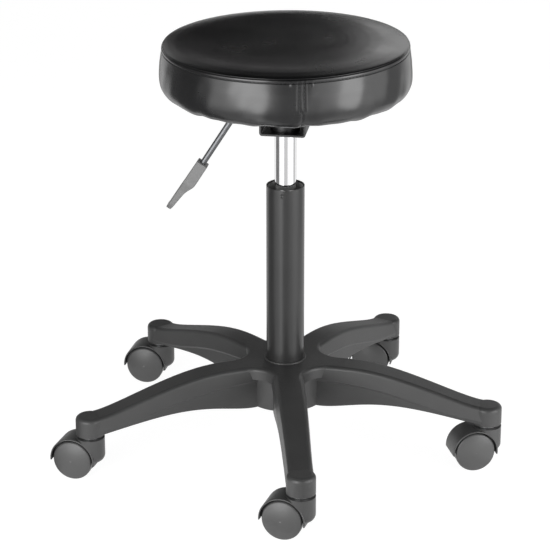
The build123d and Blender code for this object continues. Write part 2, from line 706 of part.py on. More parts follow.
def lever_pivot_pin():
    """Headed cross pin through both ears and the lever's eye."""
    pin = cross_bar(PIVOT_RADIUS, PIVOT_HALF)
    head = Pos(0, EYE_HALF + EAR_GAP + EAR_THICK + PIVOT_HEAD_THICK / 2, 0)
    pin += head * cross_bar(PIVOT_HEAD_RADIUS, PIVOT_HEAD_THICK / 2)
    return mechanism(Pos(PIVOT_AT, 0, LEVER_HEIGHT) * pin)


def paddle_direction():
    """Unit direction of the lever below its bend, in its own upright plane."""
    run = PADDLE_AT[0] - LEVER_BEND_AT
    drop = PADDLE_AT[1] - LEVER_HEIGHT
    length = sqrt(run ** 2 + drop ** 2)
    return run / length, drop / length


def paddle_plane():
    """Plane of the paddle's side view: its own +X down the paddle, +Y to the outer edge."""
    run, drop = paddle_direction()
    return Plane(origin=(PADDLE_AT[0], 0, PADDLE_AT[1]), x_dir=(run, 0, drop), z_dir=(0, -1, 0))


def lever_rod():
    """Bent round bar with a hinge eye and a small nose over the release pin."""
    run, drop = paddle_direction()
    end = (PADDLE_AT[0] + PADDLE_DEPTH * run, PADDLE_AT[1] + PADDLE_DEPTH * drop)
    corner = (LEVER_BEND_AT, LEVER_HEIGHT)
    start = (LEVER_INNER, LEVER_HEIGHT)
    route = Plane.XZ * FilletPolyline(start, corner, end, radius=LEVER_BEND_RADIUS)
    bar = sweep(Plane(origin=(LEVER_INNER, 0, LEVER_HEIGHT), z_dir=(1, 0, 0)) * Circle(LEVER_RADIUS), route)
    nose_low = PIN_TOP + NOSE_GAP
    bar += rod(NOSE_RADIUS, nose_low + NOSE_RADIUS, LEVER_HEIGHT)
    bar += Pos(0, 0, nose_low + NOSE_RADIUS) * Sphere(NOSE_RADIUS)
    eye = Pos(PIVOT_AT, 0, LEVER_HEIGHT)
    bar += eye * cross_bar(EYE_RADIUS, EYE_HALF)
    return mechanism(bar - eye * cross_bar(PIVOT_RADIUS + FIT, EYE_HALF + CUT))


def paddle_side():
    """Side view of the paddle: thick socket, curved step on the inner side, thin blade with a round tip."""
    socket_end = (PADDLE_STEP_START, -PADDLE_SOCKET_THICK)
    step_middle = ((PADDLE_STEP_START + PADDLE_STEP_END) / 2,
                   (PADDLE_BLADE_INNER - PADDLE_SOCKET_THICK) / 2)
    blade_start = (PADDLE_STEP_END, PADDLE_BLADE_INNER)
    tip_inner = (PADDLE_LENGTH - PADDLE_TIP / 2, PADDLE_TIP_INNER)
    tip_end = (PADDLE_LENGTH, (PADDLE_TIP_INNER + PADDLE_TIP_OUTER) / 2)
    tip_outer = (PADDLE_LENGTH - PADDLE_TIP, PADDLE_TIP_OUTER)
    return make_face([
        Polyline(tip_outer, (0, PADDLE_SOCKET_THICK), (0, -PADDLE_SOCKET_THICK), socket_end),
        Spline(socket_end, step_middle, blade_start, tangents=((1, 0), (1, 0.1))),
        Line(blade_start, tip_inner),
        ThreePointArc(tip_inner, tip_end, tip_outer),
    ])


def paddle_front():
    """Front view of the paddle: narrow socket that widens to a blade with a half-round end."""
    wide = PADDLE_BLADE_WIDE
    narrow = PADDLE_SOCKET_WIDE
    round_start = PADDLE_LENGTH - wide
    return make_face([
        Line((round_start, -wide), (PADDLE_STEP_END, -wide)),
        Spline((PADDLE_STEP_END, -wide), (PADDLE_STEP_START, -narrow), tangents=((-1, 0), (-1, 0))),
        Polyline((PADDLE_STEP_START, -narrow), (0, -narrow), (0, narrow), (PADDLE_STEP_START, narrow)),
        Spline((PADDLE_STEP_START, narrow), (PADDLE_STEP_END, wide), tangents=((1, 0), (1, 0))),
        Line((PADDLE_STEP_END, wide), (round_start, wide)),
        ThreePointArc((round_start, wide), (PADDLE_LENGTH, 0), (round_start, -wide)),
    ])


def lever_paddle():
    """Moulded paddle: what its side and front views share, its long edges rounded, with a blind rod hole."""
    reach = 2 * PADDLE_BLADE_WIDE
    body = Pos(0, 0, -reach) * extrude(paddle_side(), 2 * reach)
    body &= Pos(0, reach, 0) * extrude(Plane.XZ * paddle_front(), 2 * reach)
    lengthwise = body.edges().filter_by(Axis.Y, reverse=True)
    sides = [edge for edge in lengthwise if abs(edge.center().Z) > PADDLE_SOCKET_WIDE / 2]
    hole = Plane.YZ * Cylinder(LEVER_RADIUS, PADDLE_DEPTH, align=UPWARD)
    return mechanism(paddle_plane().location * (fillet(sides, PADDLE_EDGE) - hole))


def caster_place(index):
    """Place of a caster drawn about its stem, turned to where it has swivelled."""
    return stem_place(index) * Rot(0, 0, CASTER_TURNS[index])


def wheel_place(index, side):
    """Place of a wheel drawn about Z: axis across the caster, domed face outwards on the given side."""
    return caster_place(index) * Pos(TRAIL, 0, WHEEL_RADIUS) * Rot(-90 * side, 0, 0)


def at_stems(shape):
    """One copy of a shape on every stem axis."""
    return Compound([stem_place(index) * shape for index in range(ARM_COUNT)])


def base_pieces():
    """Everything that stands still."""
    return {
        "star_base": star_base(),
        "outer_column": outer_column(),
        "guide_bush": guide_bush(),
        "lower_bearing_washer": tube(BEARING_RADIUS, FOOT_HOLE, COLUMN_FLOOR, COLUMN_FLOOR + WASHER_THICK),
        "ball_cage": ball_cage(),
        "bearing_balls": bearing_balls(),
        "caster_stems": at_stems(caster_stem()),
        "grip_rings": at_stems(split_ring(SOCKET_RADIUS, GRIP_GROOVE, GRIP_LOW, GRIP_HIGH)),
        "snap_rings": at_stems(split_ring(SNAP_RADIUS, SNAP_GROOVE, SNAP_LOW, SNAP_HIGH)),
    }


def caster_pieces():
    """Hood, axle and two wheels of each caster."""
    pieces = {}
    hood = caster_hood()
    axle = caster_axle()
    wheel = caster_wheel()
    for index, name in enumerate(CASTER_NAMES):
        pieces[f"{name}_caster_hood"] = caster_place(index) * hood
        pieces[f"{name}_caster_axle"] = caster_place(index) * axle
        pieces[f"{name}_wheel_left"] = wheel_place(index, 1) * wheel
        pieces[f"{name}_wheel_right"] = wheel_place(index, -1) * wheel
    return pieces


def piston_pieces():
    """What turns with the seat but stays at its height."""
    washer_low = CLIP_HIGH + CLIP_GAP
    return {
        "piston_rod": piston_rod(),
        "piston": piston(),
        "piston_ring": tube(PRESSURE_BORE - FIT, PISTON_GROOVE, PISTON_RING_LOW, PISTON_RING_HIGH),
        "upper_bearing_washer": tube(BEARING_RADIUS, ROD_FOOT_RADIUS, TOP_RACE, BEARING_TOP),
        "bump_stop": tube(BUMP_RADIUS, ROD_RADIUS, BEARING_TOP, BUMP_TOP),
        "rod_washer": tube(FOOT_WASHER_RADIUS, ROD_FOOT_RADIUS, washer_low, FOOT_WASHER_HIGH),
        "rod_clip": split_ring(CLIP_RADIUS, CLIP_GROOVE, CLIP_LOW, CLIP_HIGH),
    }


def seat_pieces():
    """What rises and turns with the seat."""
    low = plate_height()
    washer = tube(LOCK_WASHER_RADIUS, SCREW_RADIUS, low - LOCK_WASHER_THICK, low)
    return {
        "gas_cylinder": gas_cylinder(),
        "pressure_tube": tube(PRESSURE_RADIUS, PRESSURE_BORE, SEAL_TOP, VALVE_LOW),
        "rod_guide": tube(GAS_BORE, ROD_RADIUS + FIT, GAS_LOW, GUIDE_TOP),
        "rod_seal": tube(GAS_BORE, ROD_RADIUS + FIT, GUIDE_TOP, SEAL_TOP),
        "valve_body": tube(GAS_BORE, PIN_RADIUS + FIT, VALVE_LOW, GAS_CAVITY_TOP),
        "seat_plate": seat_plate(),
        "mechanism_channel": mechanism_channel(),
        "taper_socket": taper_socket(),
        "lever_bracket": lever_bracket(),
        "lever_pivot_pin": lever_pivot_pin(),
        "seat_screws": Compound(at_screws(seat_screw())),
        "lock_washers": Compound(at_screws(washer)),
        "tee_nuts": Compound(at_screws(tee_nut())),
        "seat_board": seat_board(),
        "seat_foam": seat_foam(),
        "seat_cover_top": seat_cover_top(),
        "seat_cover_band": seat_cover_band(),
        "dust_cover": dust_cover(),
        "staples": staple_ring(),
    }


def lever_pieces():
    """The release lever and the pin that it presses."""
    return {
        "lever_rod": lever_rod(),
        "lever_paddle": lever_paddle(),
        "release_pin": release_pin(),
    }


os.makedirs("parts", exist_ok=True)
for pieces in (base_pieces(), caster_pieces(), piston_pieces(), seat_pieces(), lever_pieces()):
    for name, shape in pieces.items():
        export_step(shape, f"parts/{name}.step")
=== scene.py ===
from math import pi, radians

import bpy
import numpy as np
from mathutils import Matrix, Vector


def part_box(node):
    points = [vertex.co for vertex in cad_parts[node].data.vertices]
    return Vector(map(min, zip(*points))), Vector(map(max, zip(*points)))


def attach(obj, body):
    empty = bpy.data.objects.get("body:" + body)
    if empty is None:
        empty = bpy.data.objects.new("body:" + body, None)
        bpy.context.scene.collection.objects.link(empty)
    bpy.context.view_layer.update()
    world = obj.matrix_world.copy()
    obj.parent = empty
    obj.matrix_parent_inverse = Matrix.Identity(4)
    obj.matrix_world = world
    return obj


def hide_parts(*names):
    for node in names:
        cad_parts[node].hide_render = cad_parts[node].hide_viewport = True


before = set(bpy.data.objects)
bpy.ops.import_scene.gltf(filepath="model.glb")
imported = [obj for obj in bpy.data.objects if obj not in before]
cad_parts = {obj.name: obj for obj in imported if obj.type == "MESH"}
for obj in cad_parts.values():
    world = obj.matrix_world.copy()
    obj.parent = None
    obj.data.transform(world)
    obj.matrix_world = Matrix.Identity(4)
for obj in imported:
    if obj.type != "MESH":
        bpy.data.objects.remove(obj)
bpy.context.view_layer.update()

# Star base.
# One injection moulding of glass-filled nylon: hub, five hollow arms and the caster bosses. The tool's
# fine spark texture leaves a matt grain, and the tone is slightly cloudy.

MILLIMETRE = 0.001


def linear(code):
    """An sRGB hex colour as linear RGBA: each channel through the sRGB transfer curve."""
    value = np.array([int(code[i:i + 2], 16) for i in (1, 3, 5)]) / 255.0
    bent = np.where(value <= 0.04045, value / 12.92, ((value + 0.055) / 1.055) ** 2.4)
    return (*bent.tolist(), 1.0)


def feed(tree, node, sockets):
    """Fills a node's sockets, by name or number. Each takes a value or a link from another node's output."""
    for name, value in sockets.items():
        if isinstance(value, bpy.types.NodeSocket):
            tree.links.new(value, node.inputs[name])
        else:
            node.inputs[name].default_value = value


def add(tree, kind, sockets=(), **settings):
    """Adds one shader node, puts the settings on it and fills its sockets."""
    made = tree.nodes.new(kind)
    for name, value in settings.items():
        setattr(made, name, value)
    feed(tree, made, dict(sockets))
    return made


def begin_finish(name):
    """A new material: its node tree, its Principled shader and the Object coordinates of its patterns."""
    made = bpy.data.materials.new(name)
    made.use_nodes = True
    tree = made.node_tree
    place = add(tree, "ShaderNodeTexCoord").outputs["Object"]
    return made, tree, tree.nodes["Principled BSDF"], place


def per_metre(size_mm):
    """Texture scale that gives a pattern of this size: the repeats in one metre."""
    return 1.0 / (size_mm * MILLIMETRE)


def dress(finish, *names):
    """Gives CAD nodes a finish."""
    for name in names:
        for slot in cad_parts[name].material_slots:
            slot.material = finish


def moulding(name, dark, light, grain_mm, roughness):
    """Spark-textured moulding: cloudy tone over the part, fine grain in the gloss and in the relief."""
    finish, tree, shader, place = begin_finish(name)
    cloud = add(tree, "ShaderNodeTexNoise", {"Vector": place, "Scale": per_metre(45.0), "Detail": 4.0})
    grain = add(tree, "ShaderNodeTexNoise", {"Vector": place, "Scale": per_metre(grain_mm), "Detail": 2.0})
    tone = add(tree, "ShaderNodeMix", {"Factor": cloud.outputs["Fac"], "A": linear(dark), "B": linear(light)},
               data_type="RGBA")
    gloss = add(tree, "ShaderNodeMapRange", {"Value": grain.outputs["Fac"], "From Min": 0.3, "From Max": 0.7,
                                             "To Min": roughness - 0.06, "To Max": roughness + 0.08})
    relief = add(tree, "ShaderNodeBump", {"Height": grain.outputs["Fac"], "Strength": 0.22,
                                          "Distance": 0.12 * MILLIMETRE})
    feed(tree, shader, {"Base Color": tone.outputs["Result"], "Roughness": gloss.outputs["Result"],
                        "Normal": relief.outputs["Normal"], "IOR": 1.53})
    return finish


# The grain is drawn at twice its real 0.5 mm so that it shows.
base_nylon = moulding("glass_filled_nylon", "#323232", "#3d3d3d", grain_mm=1.0, roughness=0.44)
dress(base_nylon, "star_base")

# Casters.
# Each is a nylon hood on a steel stem, with two nylon wheels on a pressed axle. Grip rings hold the
# stems in the bosses and snap rings hold the hoods on the stems.

CASTERS = ("front", "right", "rear_right", "rear_left", "left")

hood_nylon = moulding("satin_nylon_hood", "#393939", "#444444", grain_mm=0.8, roughness=0.42)
wheel_nylon = moulding("satin_nylon_wheel", "#424242", "#4f4f4f", grain_mm=0.8, roughness=0.4)
for caster in CASTERS:
    dress(hood_nylon, f"{caster}_caster_hood")
    dress(wheel_nylon, f"{caster}_wheel_left", f"{caster}_wheel_right")


def drawn_metal(name, tone, roughness, line_mm, stretch=50.0):
    """Bare drawn metal: fine lines, stretched along the height, which vary the gloss and the relief."""
    finish, tree, shader, place = begin_finish(name)
    long_way = add(tree, "ShaderNodeMapping", {"Vector": place, "Scale": (1.0, 1.0, 1.0 / stretch)})
    lines = add(tree, "ShaderNodeTexNoise", {"Vector": long_way.outputs["Vector"],
                                             "Scale": per_metre(line_mm), "Detail": 3.0})
    gloss = add(tree, "ShaderNodeMapRange", {"Value": lines.outputs["Fac"], "To Min": roughness * 0.7,
                                             "To Max": roughness * 1.3})
    relief = add(tree, "ShaderNodeBump", {"Height": lines.outputs["Fac"], "Strength": 0.06,
                                          "Distance": 0.05 * MILLIMETRE})
    feed(tree, shader, {"Base Color": linear(tone), "Metallic": 1.0, "Roughness": gloss.outputs["Result"],
                        "Normal": relief.outputs["Normal"]})
    return finish


bright_steel = drawn_metal("bright_drawn_steel", "#b9babb", roughness=0.3, line_mm=0.8)
axles = [f"{caster}_caster_axle" for caster in CASTERS]
dress(bright_steel, "caster_stems", "grip_rings", "snap_rings", *axles)

# Outer column.
# Welded steel tube, wedged into the hub by its tapered foot and powder coated satin black. The coat
# flows out with a faint orange peel. An acetal bush and a ball bearing inside it guide the gas spring.


def powder_coat(name, dark, light, roughness):
    """Satin powder coat: slow drift of tone and gloss, orange-peel relief at 1.6 mm."""
    finish, tree, shader, place = begin_finish(name)
    drift = add(tree, "ShaderNodeTexNoise", {"Vector": place, "Scale": per_metre(60.0), "Detail": 3.0})
    peel = add(tree, "ShaderNodeTexNoise", {"Vector": place, "Scale": per_metre(1.6), "Detail": 1.0})
    tone = add(tree, "ShaderNodeMix", {"Factor": drift.outputs["Fac"], "A": linear(dark), "B": linear(light)},
               data_type="RGBA")
    gloss = add(tree, "ShaderNodeMapRange", {"Value": drift.outputs["Fac"], "To Min": roughness - 0.05,
                                             "To Max": roughness + 0.05})
    relief = add(tree, "ShaderNodeBump", {"Height": peel.outputs["Fac"], "Strength": 0.12,
                                          "Distance": 0.1 * MILLIMETRE})
    feed(tree, shader, {"Base Color": tone.outputs["Result"], "Roughness": gloss.outputs["Result"],
                        "Normal": relief.outputs["Normal"]})
    return finish


dress(powder_coat("satin_black_powder_coat", "#242424", "#2c2c2c", roughness=0.3), "outer_column")
acetal = moulding("grey_acetal_bush", "#8e8e8d", "#a1a1a0", grain_mm=0.8, roughness=0.4)
dress(acetal, "guide_bush", "ball_cage")
dress(bright_steel, "lower_bearing_washer", "upper_bearing_washer", "bearing_balls")

# Gas spring.
# A chromed steel cylinder over a piston rod that stands on the bearing. The chrome is polished along
# the tube. Piston and valve are turned aluminium, and the piston ring, seal and bump stop are rubber.

dress(drawn_metal("polished_chrome", "#f0f0f1", roughness=0.07, line_mm=0.6), "gas_cylinder")
dress(bright_steel, "piston_rod", "rod_washer", "rod_clip", "pressure_tube", "release_pin")
dress(drawn_metal("turned_aluminium", "#c9cacc", roughness=0.35, line_mm=0.5), "piston", "valve_body")
dress(acetal, "rod_guide")
rubber = moulding("black_rubber", "#191919", "#202020", grain_mm=1.2, roughness=0.7)
dress(rubber, "piston_ring", "rod_seal", "bump_stop")

# Seat mechanism.
# Pressed steel plate with a folded channel and a thick taper collar welded to it, dipped in black
# enamel. Four socket screws with lock washers hold it to tee nuts in the seat board.

enamel = powder_coat("black_enamel", "#161617", "#1d1d1e", roughness=0.33)
dress(enamel, "seat_plate", "mechanism_channel", "taper_socket", "lever_bracket")
dress(bright_steel, "lever_pivot_pin", "seat_screws", "lock_washers", "tee_nuts")

# Release lever.
# Bent steel bar, dull zinc plated and hinged in the channel. A grey moulded paddle is pushed on its
# end. Lifting it presses the valve pin. The bar slants, so its plating has specks instead of lines.

lever_bar = drawn_metal("zinc_plated_bar", "#6c6d6f", roughness=0.42, line_mm=1.5, stretch=1.0)
dress(lever_bar, "lever_rod")
dress(moulding("grey_moulded_paddle", "#686868", "#737373", grain_mm=0.9, roughness=0.5), "lever_paddle")

# Seat board.
# Round birch plywood, bored for the tee nuts and covered by the upholstery. The face veneer has a long
# straight grain in two close tones.


def birch_plywood():
    """Birch veneer: grain stretched along X, in two close tones."""
    finish, tree, shader, place = begin_finish("birch_plywood")
    along = add(tree, "ShaderNodeMapping", {"Vector": place, "Scale": (0.08, 1.0, 1.0)})
    grain = add(tree, "ShaderNodeTexNoise", {"Vector": along.outputs["Vector"], "Scale": per_metre(4.0),
                                             "Detail": 6.0})
    tone = add(tree, "ShaderNodeMix", {"Factor": grain.outputs["Fac"], "A": linear("#b58a5a"),
                                       "B": linear("#d9b98a")}, data_type="RGBA")
    feed(tree, shader, {"Base Color": tone.outputs["Result"], "Roughness": 0.6})
    return finish


dress(birch_plywood(), "seat_board")

# Seat cushion, the top panel.
# Foam under black upholstery vinyl. The round top panel is sewn to a side band. It is flat in the
# middle, rolls over at the rim and tucks in behind the band.

band_low, band_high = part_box("seat_cover_band")
_, top_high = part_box("seat_cover_top")
SEAM_RADIUS = top_high.x
SEAM_HEIGHT = band_high.z
CROWN_HEIGHT = top_high.z

scene = bpy.context.scene


def black_vinyl():
    """Upholstery vinyl: black, semi-gloss, with the shallow pebbles of an embossed leather grain."""
    finish, tree, shader, place = begin_finish("black_upholstery_vinyl")
    # The pebbles are drawn at 2.4 mm, about three times their real size, so that they show.
    pebble = add(tree, "ShaderNodeTexVoronoi", {"Vector": place, "Scale": per_metre(2.4)})
    wear = add(tree, "ShaderNodeTexNoise", {"Vector": place, "Scale": per_metre(70.0), "Detail": 5.0})
    tone = add(tree, "ShaderNodeMix", {"Factor": wear.outputs["Fac"], "A": linear("#0d0d0e"),
                                       "B": linear("#151516")}, data_type="RGBA")
    gloss = add(tree, "ShaderNodeMapRange", {"Value": wear.outputs["Fac"], "From Min": 0.3, "From Max": 0.7,
                                             "To Min": 0.21, "To Max": 0.29})
    relief = add(tree, "ShaderNodeBump", {"Height": pebble.outputs["Distance"], "Strength": 0.04,
                                          "Distance": 0.1 * MILLIMETRE})
    feed(tree, shader, {"Base Color": tone.outputs["Result"], "Roughness": gloss.outputs["Result"],
                        "Normal": relief.outputs["Normal"], "IOR": 1.52})
    return finish


vinyl = black_vinyl()


def new_piece(name, points, quads, finish, body):
    """A smooth mesh object from points and quads, which rides on a body and takes the given finish."""
    mesh = bpy.data.meshes.new(name)
    mesh.vertices.add(len(points))
    mesh.vertices.foreach_set("co", np.asarray(points, np.float32).ravel())
    mesh.loops.add(quads.size)
    mesh.loops.foreach_set("vertex_index", quads.astype(np.int32).ravel())
    mesh.polygons.add(len(quads))
    mesh.polygons.foreach_set("loop_start", np.arange(0, quads.size, 4, dtype=np.int32))
    mesh.update(calc_edges=True)
    mesh.validate()
    mesh.polygons.foreach_set("use_smooth", np.ones(len(quads), bool))
    mesh.materials.append(finish)
    made = bpy.data.objects.new(name, mesh)
    scene.collection.objects.link(made)
    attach(made, body)
    return made


def points_of(mesh):
    """A mesh's points, one row each."""
    place = np.zeros(len(mesh.vertices) * 3, np.float32)
    mesh.vertices.foreach_get("co", place)
    return place.reshape(-1, 3)


def move_points(piece, points):
    """Moves a piece's points to new places."""
    piece.data.vertices.foreach_set("co", points.astype(np.float32).ravel())
    piece.data.update()


def numbers(rows, columns):
    """Point numbers of a grid, row by row."""
    return np.arange(rows * columns).reshape(rows, columns)


def quads_between(number, around=False):
    """Quads of a grid, from the point numbers at its rows and columns.
    A grid that goes around joins its last column to its first."""
    if around:
        number = np.column_stack([number, number[:, 0]])
    corners = [number[:-1, :-1], number[1:, :-1], number[1:, 1:], number[:-1, 1:]]
    return np.stack(corners, axis=-1).reshape(-1, 4)


def disc_grid(rings):
    """A disc without a pole: ring k of a square lattice is bent to a circle of radius k / rings.
    Returns x and y on the lattice and the lattice numbers of the rim, in order of angle."""
    step = np.arange(-rings, rings + 1)
    u, v = np.meshgrid(step, step, indexing="ij")
    wide = np.abs(u) >= np.abs(v)
    reach = np.where(wide, u, v).astype(float)
    share = np.where(wide, v, u) / np.where(reach == 0, 1, reach)
    turn = np.where(wide, share * pi / 4, pi / 2 - share * pi / 4)
    x = reach * np.cos(turn) / rings
    y = reach * np.sin(turn) / rings
    rim = np.flatnonzero(np.maximum(np.abs(u), np.abs(v)).ravel() == rings)
    order = np.argsort(np.arctan2(y.ravel()[rim], x.ravel()[rim]))
    return x, y, rim[order]


def disc_with_rim(rings, disc_radius, disc_height, profile):
    """A disc lattice of the given radius, with height as a function of radius, continued by rim rows.
    Each rim row is a circle at one (radius, height) of the profile.
    Returns the points, the quads and the number of each point's ring."""
    x, y, rim = disc_grid(rings)
    radius = np.hypot(x, y) * disc_radius
    disc = np.stack([x * disc_radius, y * disc_radius, disc_height(radius)], axis=-1).reshape(-1, 3)
    angle = np.arctan2(y.ravel()[rim], x.ravel()[rim])
    out, up = profile.T
    rows = np.stack([out[:, None] * np.cos(angle), out[:, None] * np.sin(angle),
                     np.repeat(up[:, None], len(angle), axis=1)], axis=-1).reshape(-1, 3)
    rim_number = np.vstack([rim, len(disc) + numbers(len(out), len(angle))])
    ring = np.concatenate([np.rint(np.hypot(x, y) * rings).ravel(),
                           rings + 1 + np.repeat(np.arange(len(out)), len(angle))])
    quads = np.vstack([quads_between(numbers(*x.shape)), quads_between(rim_number, around=True)])
    return np.vstack([disc, rows]), quads, ring.astype(int)


# The photo's cushion is flatter than the CAD crown by CROWN_GAP. Out to LATTICE_SHARE of its radius the
# panel is a lattice, and past that it is rows of rings.
TOP_SWELL = 1.5 * MILLIMETRE
CROWN_GAP = 2.6 * MILLIMETRE
PAD_RISE = CROWN_HEIGHT - SEAM_HEIGHT - TOP_SWELL - CROWN_GAP
LATTICE_SHARE = 0.9
TOP_RINGS = 56
ROLL_ROWS = 17


def crown(radius):
    """Top panel before it swells: a superellipse, flat in the middle and rolled over to upright at the seam.
    Height above the seam is the rise times the square root of one minus the fifth power of the share."""
    share = np.minimum(radius / SEAM_RADIUS, 1.0)
    return SEAM_HEIGHT + PAD_RISE * np.sqrt(1.0 - share ** 5)


# The rows crowd towards the seam, where the panel turns fastest. Three more, given by how far in and how
# far down they lie, tuck the edge under.
short_of_seam = np.linspace(1.0, 0.0, ROLL_ROWS + 1)[1:] ** 2
roll = SEAM_RADIUS * (1.0 - (1.0 - LATTICE_SHARE) * short_of_seam)
tuck = np.array([[0.6, 1.2], [3.0, 2.4], [8.0, 3.0]]) * MILLIMETRE
rim_profile = np.vstack([np.column_stack([roll, crown(roll)]), np.array([SEAM_RADIUS, SEAM_HEIGHT]) - tuck])
top_points, top_quads, top_ring = disc_with_rim(TOP_RINGS, LATTICE_SHARE * SEAM_RADIUS, crown, rim_profile)
top_panel = new_piece("seat_top_panel", top_points, top_quads, vinyl, "seat")

PRESSURE = 0.5
SWELL_FRAMES = 12


def inflate(piece, held, ring, swell):
    """Swells a sewn panel over its foam: cloth under pressure with its sewn edges held, run for a few
    frames without gravity. The foam keeps it free of wrinkles, so the movement is averaged round each ring.
    It is then scaled to the given swell and written to the mesh."""
    rest = points_of(piece.data)
    group = piece.vertex_groups.new(name="sewn")
    group.add(np.flatnonzero(held).tolist(), 1.0, "REPLACE")
    cloth = piece.modifiers.new("inflate", "CLOTH")
    cloth.settings.quality = 4
    cloth.settings.mass = 0.4
    cloth.settings.tension_stiffness = 30.0
    cloth.settings.compression_stiffness = 30.0
    cloth.settings.shear_stiffness = 12.0
    cloth.settings.bending_stiffness = 10.0
    cloth.settings.use_pressure = True
    cloth.settings.uniform_pressure_force = PRESSURE
    cloth.settings.vertex_group_mass = "sewn"
    cloth.settings.effector_weights.gravity = 0.0
    cloth.collision_settings.use_collision = False
    for number in range(1, SWELL_FRAMES + 1):
        scene.frame_set(number)
    moved = points_of(piece.evaluated_get(bpy.context.evaluated_depsgraph_get()).data) - rest
    reach = np.maximum(np.hypot(rest[:, 0], rest[:, 1]), 1e-6)
    outward = np.bincount(ring, (moved[:, :2] * rest[:, :2]).sum(axis=1) / reach) / np.bincount(ring)
    upward = np.bincount(ring, moved[:, 2]) / np.bincount(ring)
    moved = np.column_stack([rest[:, :2] * (outward[ring] / reach)[:, None], upward[ring]])
    moved *= swell / np.linalg.norm(moved, axis=1).max()
    piece.modifiers.remove(cloth)
    piece.vertex_groups.remove(group)
    scene.frame_set(1)
    move_points(piece, rest + moved)


top_reach = np.hypot(top_points[:, 0], top_points[:, 1])
top_sewn = (top_reach > SEAM_RADIUS - MILLIMETRE) | (top_points[:, 2] < SEAM_HEIGHT)
inflate(top_panel, top_sewn, top_ring, TOP_SWELL)

# The cover sits a little askew: its seam stands higher than drawn, and most at the right.
SEAM_LIFT = 1.4 * MILLIMETRE


def lift_seam(piece, fade):
    """Raises a piece by SEAM_LIFT (1 + x / R), times a fade from one at the seam to zero away from it."""
    place = points_of(piece.data)
    place[:, 2] += SEAM_LIFT * (1.0 + place[:, 0] / SEAM_RADIUS) * fade(place)
    move_points(piece, place)


def rim_fade(place):
    """Sixth power of the share of the seam's radius."""
    return (np.hypot(place[:, 0], place[:, 1]) / SEAM_RADIUS) ** 6


lift_seam(top_panel, rim_fade)
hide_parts("seat_cover_top", "seat_foam")

# Seat cushion, the side band.
# A strip of the same vinyl, sewn to the top panel and stitched down just below that seam. One join with
# two rows of stitches closes it at the front, and it is pulled tight under the board and stapled.

PAD_RADIUS = band_high.x
PAD_BOTTOM = band_low.z
LOWER_ROLL = 22.0 * MILLIMETRE
HEM_RADIUS = 112.5 * MILLIMETRE
SIDE_FOOT = PAD_BOTTOM + LOWER_ROLL
JOIN_ANGLE = radians(-90.0 + 7.0)
BAND_COLUMNS = 640
BAND_SWELL = 0.6 * MILLIMETRE
SEWN_DEPTH = 6.0 * MILLIMETRE
STAPLED_SHARE = 0.97


def band_profile(share):
    """Side band from the seam (0) to the stapled hem (1): an arc that bulges from the seam to the widest
    place, a quarter circle for the lower edge and a flat hem.
    Returns radius, height, the outward normal's two parts and the length along the curve."""
    rise = SEAM_HEIGHT - SIDE_FOOT
    sink = PAD_RADIUS - SEAM_RADIUS
    bulge = (rise ** 2 + sink ** 2) / (2.0 * sink)
    lean = np.arcsin(rise / bulge)
    lengths = np.cumsum([bulge * lean, LOWER_ROLL * pi / 2, PAD_RADIUS - LOWER_ROLL - HEM_RADIUS])
    along = share * lengths[-1]
    side = lean - along / bulge
    edge = (lengths[0] - along) / LOWER_ROLL
    on_side = along < lengths[0]
    on_edge = along < lengths[1]
    turn = np.where(on_side, side, np.maximum(edge, -pi / 2))
    radius = np.where(on_side, PAD_RADIUS - bulge * (1.0 - np.cos(side)),
                      np.where(on_edge, PAD_RADIUS - LOWER_ROLL * (1.0 - np.cos(edge)),
                               PAD_RADIUS - LOWER_ROLL - (along - lengths[1])))
    height = np.where(on_side, SIDE_FOOT + bulge * np.sin(side),
                      np.where(on_edge, PAD_BOTTOM + LOWER_ROLL * (1.0 + np.sin(edge)), PAD_BOTTOM))
    return radius, height, np.cos(turn), np.sin(turn), along


def crowded_angles(count, middle, width, extra):
    """Angles once round, closer together near one angle: equal steps of a density with a bump there."""
    fine = np.linspace(-pi, pi, 20001)
    density = 1.0 + extra * np.exp(-((fine / width) ** 2))
    travel = np.concatenate([[0.0], np.cumsum((density[1:] + density[:-1]) / 2)])
    return middle + np.interp(np.arange(count) / count, travel / travel[-1], fine)


# Rows lie close together at the sewing, wider down the side and widest along the hem.
SEWING_END = 0.1
HEM_START = 0.72
row_share = np.concatenate([np.linspace(0.0, SEWING_END, 22), np.linspace(SEWING_END, HEM_START, 40)[1:],
                            np.linspace(HEM_START, 1.0, 12)[1:]])
BAND_ROWS = len(row_share)
band_r, band_z, normal_r, normal_z, depth = band_profile(row_share)
angles = crowded_angles(BAND_COLUMNS, JOIN_ANGLE, width=0.085, extra=5.0)


def ramp(value, start, length):
    """Zero before the start, one past the length, and straight between."""
    return np.clip((value - start) / length, 0.0, 1.0)


def staple_pull(angle, below):
    """Pull of the staples, which draws the lower edge in and out by up to 1.6 mm, unevenly round the seat.
    It is a sum of 13, 20 and 33 sine waves to a turn, and it grows from 46 mm below the seam."""
    pull = 0.5 * np.sin(20.0 * angle + 0.7) + 0.45 * np.sin(13.0 * angle + 2.1) + 0.35 * np.sin(33.0 * angle)
    return 1.2 * MILLIMETRE * pull * ramp(below, 46.0 * MILLIMETRE, 30.0 * MILLIMETRE) ** 1.5


def foam_wave(angle, below):
    """Uneven foam, which waves the side by up to 0.3 mm: a sum of 17, 27 and 41 slanted sine waves to a
    turn. It grows from nothing at the seam to its full height 20 mm below."""
    wave = np.sin(27.0 * angle + 90.0 * below) + 0.8 * np.sin(17.0 * angle - 130.0 * below + 1.0)
    wave = wave + 0.6 * np.sin(41.0 * angle + 60.0 * below + 2.0)
    return 0.12 * MILLIMETRE * wave * ramp(below, 0.0, 20.0 * MILLIMETRE)


